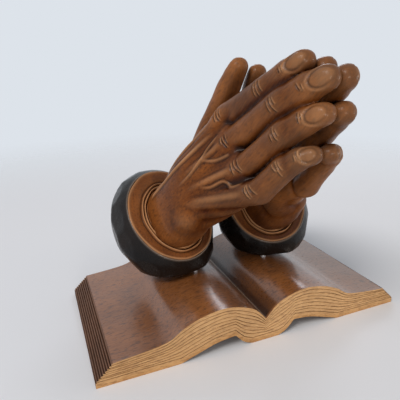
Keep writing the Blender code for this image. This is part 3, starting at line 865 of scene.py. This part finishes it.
# cords over the back of the hand, a plain textbook layout: height and width in mm, the fade at each
# end as a share of the length, how pale the top is painted (wear and painted highlight), how deep the
# sides are undercut as a share of the height, with painted shade there, and the lines as (forward, up)
cords = {
    "tendons": {
        "size": (0.9, 1.7), "fade": (0.5, 0.2), "wearAndHighlight": 0.12, "undercut": 0.25,
        "lines": (((44, 47), (56, 61), (68, 74)),
                  ((52, 37), (68, 48), (85, 58.5)),
                  ((58, 30), (78, 36), (101, 45))),
    },
    "wristTendons": {
        "size": (1.1, 1.3), "fade": (0.1, 0.25), "wearAndHighlight": 0.42, "undercut": 0.4,
        "lines": (((-4, 22), (12, 42), (30, 64), (50, 87)),
                  ((2, 17), (19, 36), (37, 57), (57, 81))),
    },
    "veins": {
        "size": (0.8, 0.85), "fade": (0.12, 0.3), "wearAndHighlight": 0.3, "undercut": 0.35,
        "lines": (((63, 80), (57, 69), (54, 58), (49, 47), (42, 37)),
                  ((78, 68), (68, 62), (55, 60)),
                  ((96, 51), (88, 47), (80, 49), (71, 43), (62, 41))),
    },
}


class Relief:
    # what the gouge takes and leaves, gathered before the surface is moved
    def __init__(self, surface):
        self.co = surface.co
        self.normal = surface.normals()
        self.lift = np.zeros(len(self.co))
        # hollow is painted shade with the stain in the cuts, raised is wear with painted highlight
        self.hollow = np.zeros(len(self.co))
        self.raised = np.zeros(len(self.co))

    def ridge(self, gap, size, share, pale=0.0, undercut=0.0):
        height, width = size
        amount = bell(gap, width) * share
        self.lift += height * amount
        # pale paints a highlight along the top of the ridge
        self.raised += pale * amount
        if undercut:
            beside = bell(gap - width * 1.9, width * 0.6) * share
            self.lift -= undercut * height * beside
            # painted shade in the undercut beside the ridge
            self.hollow += 0.35 * beside

    def groove(self, gap, size, share, shadeAndStain):
        depth, width = size
        amount = np.clip(1.15 - abs(gap) / width, 0, 1) * share
        self.lift -= depth * amount
        # painted shade in the groove, with the stain in the cut
        self.hollow += shadeAndStain * amount


def carveBack(side, relief):
    rim = rimMiddle(side)
    flat = np.stack([rim[1] - relief.co[:, 1], relief.co[:, 2] - rim[2]], 1)
    onBack = np.clip(relief.normal[:, 0] * side * 1.8, 0, 1) * np.clip((112 - flat[:, 0]) / 16, 0, 1)
    knuckles = [np.array(f["knuckle"], float) for f in fingers.values()]
    wrist = np.array([24.0, 14.0])      # (forward, up), where the bones fan out from
    for a, b in zip(knuckles, knuckles[1:]):
        web = (a + b) / 2 + (a - wrist + b - wrist) * 0.12
        gap, along = nearLine(flat, np.array([web, web + (wrist - web) * 0.75]))
        share = np.clip(along / 0.15, 0, 1) * np.clip(1.05 - along * 1.15, 0, 1) * onBack
        relief.lift -= carving["boneGroove"][0] * bell(gap, carving["boneGroove"][1]) * share
        # painted shade in the grooves between the bones
        relief.hollow += 0.2 * bell(gap, carving["boneGroove"][1] * 0.8) * share
    overTop = np.clip(relief.normal[:, 0] * side * 1.8 + relief.normal[:, 2], 0, 1)
    for name, cord in cords.items():
        shows = overTop if name == "wristTendons" else onBack
        start, end = cord["fade"]
        for line in cord["lines"]:
            gap, along = nearLine(flat, smoothCurve(line, 6))
            fade = np.clip(along / start, 0, 1) * np.clip((1 - along) / end, 0, 1)
            relief.ridge(gap, cord["size"], fade * shows, cord["wearAndHighlight"], cord["undercut"])
    bone = carving["wristBone"]
    away = np.linalg.norm(relief.co - np.array(stationPoint(side, bone["at"])), axis=1)
    relief.lift += bone["rise"] * bell(away, bone["radius"])
    # painted shade round the foot of the wrist bone
    relief.hollow += 0.3 * bell(away - bone["radius"] * 1.55, 1.6) * onBack


def carveCreases(relief, joint, s, w, width, facing):
    # a set of short cuts over a joint, the longest in the middle
    relief.lift += carving["swelling"][joint] * bell(np.hypot(s, w), width * 0.36) * facing
    number, pitch, reach = carving["creases"][joint]
    for k in range(number):
        fromMiddle = k - (number - 1) / 2
        at = fromMiddle * pitch + rng.uniform(-0.4, 0.4)
        length = reach * (1 - 0.22 * abs(fromMiddle)) * rng.uniform(0.65, 1.15)
        slide = rng.uniform(-1.2, 1.2)
        lean = rng.uniform(-0.08, 0.4)
        bow = rng.uniform(-0.01, 0.05)
        line = s - at - lean * (w - slide) - bow * (w - slide) ** 2
        share = np.clip((length - abs(w - slide)) / 1.4, 0, 1) * facing
        # each cut gets painted shade with its stain, and its lip a painted highlight
        relief.groove(line, carving["crease"], share, 0.7)
        relief.lift += carving["creaseLip"] * bell(line - 1.35, 0.6) * share
        relief.raised += 0.42 * bell(line - 1.3, 0.45) * share


def carveNail(relief, bone, s, w, width, thickness, facing):
    middle = bone * 0.1 - thickness * 0.16
    longHalf = bone * 0.37
    wideHalf = width * 0.35
    taper = 1 - 0.1 * (s - middle) / longHalf
    nailRound = np.sqrt(((s - middle) / longHalf) ** 2 + (w / wideHalf / taper) ** 2)
    edge = (nailRound - 1.0) * wideHalf
    bed = np.clip(0.5 - (s - middle) / longHalf, 0, 1)      # deepest at the quick
    relief.lift -= carving["nailBed"] * np.clip(-edge, 0, 1) * bed * facing
    relief.raised += 0.16 * np.clip(-edge, 0, 1) * facing
    # painted shade in the groove round the nail, and a painted highlight on its lip
    relief.groove(edge, carving["nailGroove"], facing * (0.45 + 0.55 * bed), 0.65)
    relief.ridge(edge - 1.1, carving["nailLip"], facing * np.clip(0.35 + bed, 0, 1), 0.2)


def carveFinger(side, name, route, relief):
    # creases over each joint, and the nail on the last bone
    stations = [np.array(stationPoint(side, s)[:3]) for s in route]
    tip = len(stations) - 1
    for i, centre in enumerate(stations):
        if name == "thumb" and i == 0:
            continue
        along = stations[min(i + 1, tip)] - stations[max(i - 1, 0)]
        along = along / np.linalg.norm(along)
        outwards = np.array([0.35 * side, 1, 0]) if name == "thumb" else np.array([side, 0, 0])
        thick = outwards - along * (along @ outwards)
        thick /= np.linalg.norm(thick)
        width, thickness = route[i][3:]
        away = relief.co - centre
        s, w, h = away @ along, away @ np.cross(along, thick), away @ thick
        near = (abs(s) < carving["reach"]) & (abs(w) < width * 0.75) & (h > 0) & (h < thickness)
        facing = np.clip((relief.normal @ thick) * 1.6, 0, 1) * near
        if i < tip:
            carveCreases(relief, i, s, w, width, facing)
        else:
            bone = np.linalg.norm(stations[tip] - stations[tip - 1]) + thickness / 2
            carveNail(relief, bone, s, w, width, thickness, facing)


def carve(side, surface):
    relief = Relief(surface)
    carveBack(side, relief)
    for name, finger in fingers.items():
        carveFinger(side, name, fingerRoute(side, finger), relief)
    carveFinger(side, "thumb", thumbRoute(side)[2:], relief)
    surface.co = surface.co + relief.normal * relief.lift[:, None]
    return relief.hollow, relief.raised


# painted shade in the hollow bends and wear with painted highlight on the proud ones: strength and most
bendTint = {
    "broadShade": (18, 0.65),
    "fineShade": (6, 0.3),
    "broadWearAndHighlight": (7, 0.16),
    "rounds": 14,             # of averaging that make a bend broad
    "most": (0.95, 0.8),      # painted shade with stain, and wear with painted highlight, in all
}


def held(values, limits):
    strength, most = limits
    return np.clip(values * strength, 0, most)


def makeHand(side, word):
    surface = Surface(*roughHand(side))
    surface.relax(hand["relax"])
    hollow, raised = carve(side, surface)
    # painted shade stays in the hollow bends, and wear with painted highlight on the proud ones
    bend = ((surface.average(surface.co) - surface.co) * surface.normals()).sum(1)
    broad = bend.copy()
    for _ in range(bendTint["rounds"]):
        broad = surface.average(broad)
    hollow = hollow + held(broad, bendTint["broadShade"]) + held(surface.average(bend), bendTint["fineShade"])
    raised = raised + held(-broad, bendTint["broadWearAndHighlight"])
    # both hands lie flat where they meet
    out = surface.co[:, 0] * side
    surface.co[:, 0] = side * np.maximum(out, shared["palmGap"])
    obj = addPiece(word + "Hand", surface.co * mm, surface.quads, [handWood],
                   replaces=(word + "_hand",), crisp=62)
    for name, values, most in zip(("hollow", "raised"), (hollow, raised), bendTint["most"]):
        storeValue(obj, name, np.clip(values, 0, most))
    print(word, "hand:", len(surface.quads), "faces")


makeHand(-1, "right")
makeHand(1, "left")

for pin in ("right_pin", "left_pin"):
    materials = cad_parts[pin].data.materials
    materials.clear()
    materials.append(drawnSteel)
print("pins finished")


# The studio

studio = {
    "paper": "#e6e9ee",
    "backdrop": "#dde3ea",
    "floorFade": (0.32, 1.1),    # m from the statue, where the floor fades into the backdrop
    "air": ("#f4f5f7", 0.32),    # colour and strength
    # direction that it shines from, width in degrees, strength, colour
    "sun": ((-0.78, -0.45, 0.85), 20, 1.4, "#fff8f0"),
    # camera, fitted to the book: place in m, turn in degrees, lens and sensor in mm
    "cameraPlace": (-0.15623, -0.31260, 0.21891),
    "azimuth": -22.14,
    "elevation": 18.445,
    "roll": -0.9145,
    "lens": 36.23,
    "sensor": 36,
    "lamps": (
        # name, place and target in m, size in m, power in W, colour
        ("window", (-0.8, -0.1, 0.8), (0, 0, 0.12), 0.32, 2.0, "#f4f6ff"),
        ("frontFill", (-0.3, -1.5, 0.22), (0.03, 0, 0.08), 0.4, 7.0, "#fff4e6"),
        ("sideFill", (1.5, -0.75, 0.16), (0.05, 0, 0.09), 0.4, 4.5, "#fff2e2"),
        ("rearWindow", (0.45, 0.7, 0.7), (0, 0, 0.12), 0.35, 1.6, "#f4f6ff"),
    ),
}


def makeAir():
    # lights the statue softly, while the camera and the varnish see the pale backdrop
    world = bpy.data.worlds.new("studioAir")
    bpy.context.scene.world = world
    world.use_nodes = True
    tree = world.node_tree
    soft = tree.nodes["Background"]
    soft.inputs["Color"].default_value = toLinear(studio["air"][0])
    soft.inputs["Strength"].default_value = studio["air"][1]
    backdrop = addNode(tree, "ShaderNodeBackground",
                       values={"Color": toLinear(studio["backdrop"]), "Strength": 1.0})
    rays = addNode(tree, "ShaderNodeLightPath").outputs
    seen = rays["Is Camera Ray"]
    for ray in ("Is Glossy Ray", "Is Transmission Ray"):
        seen = addNode(tree, "ShaderNodeMath", {0: seen, 1: rays[ray]}, operation="MAXIMUM").outputs[0]
    mixed = addNode(tree, "ShaderNodeMixShader", {0: seen, 1: soft.outputs[0], 2: backdrop.outputs[0]})
    tree.links.new(mixed.outputs[0], tree.nodes["World Output"].inputs["Surface"])


def makeFloor():
    low, high = studio["floorFade"]
    paper = bpy.data.materials.new("palePaper")
    paper.use_nodes = True
    tree = paper.node_tree
    shader = tree.nodes["Principled BSDF"]
    shader.inputs["Base Color"].default_value = toLinear(studio["paper"])
    shader.inputs["Roughness"].default_value = 0.9
    space = addNode(tree, "ShaderNodeTexCoord").outputs["Object"]
    away = addNode(tree, "ShaderNodeVectorMath", {0: space}, operation="LENGTH").outputs["Value"]
    share = addNode(tree, "ShaderNodeMapRange", {"Value": away}, {"From Min": low, "From Max": high},
                    interpolation_type="SMOOTHSTEP").outputs[0]
    clear = addNode(tree, "ShaderNodeBsdfTransparent")
    mixed = addNode(tree, "ShaderNodeMixShader", {0: share, 1: shader.outputs[0], 2: clear.outputs[0]})
    tree.links.new(mixed.outputs[0], tree.nodes["Material Output"].inputs["Surface"])
    bm = bmesh.new()
    bmesh.ops.create_circle(bm, cap_ends=True, segments=96, radius=high)
    mesh = bpy.data.meshes.new("paperFloor")
    bm.to_mesh(mesh)
    bm.free()
    mesh.materials.append(paper)
    addObject("paperFloor", mesh)


def makeLamps():
    for name, at, target, size, power, colour in studio["lamps"]:
        lamp = bpy.data.lights.new(name, "AREA")
        lamp.size = size
        lamp.energy = power
        lamp.color = toLinear(colour)[:3]
        obj = addObject(name, lamp)
        obj.location = at
        obj.rotation_euler = (Vector(target) - Vector(at)).to_track_quat("-Z", "Y").to_euler()
    shinesFrom, spread, strength, colour = studio["sun"]
    sun = bpy.data.lights.new("softSun", "SUN")
    sun.angle = math.radians(spread)
    sun.energy = strength
    sun.color = toLinear(colour)[:3]
    addObject("softSun", sun).rotation_euler = Vector(shinesFrom).to_track_quat("Z", "Y").to_euler()


def makeCamera():
    azimuth, elevation, roll = (math.radians(studio[k]) for k in ("azimuth", "elevation", "roll"))
    forward = -Vector((math.sin(azimuth) * math.cos(elevation), -math.cos(azimuth) * math.cos(elevation),
                       math.sin(elevation)))
    right = Vector((math.cos(azimuth), math.sin(azimuth), 0))
    up = right.cross(forward)
    rightTurned = right * math.cos(roll) + up * math.sin(roll)
    upTurned = up * math.cos(roll) - right * math.sin(roll)
    camera = bpy.data.cameras.new("photoView")
    camera.sensor_width = studio["sensor"]
    camera.lens = studio["lens"]
    camera.clip_start = 0.01
    obj = addObject("photoView", camera)
    turn = Matrix((rightTurned, upTurned, -forward)).transposed().to_4x4()
    obj.matrix_world = Matrix.Translation(studio["cameraPlace"]) @ turn
    bpy.context.scene.camera = obj


bpy.context.scene.view_settings.view_transform = "Standard"
makeAir()
makeFloor()
makeLamps()
makeCamera()
print("studio set")
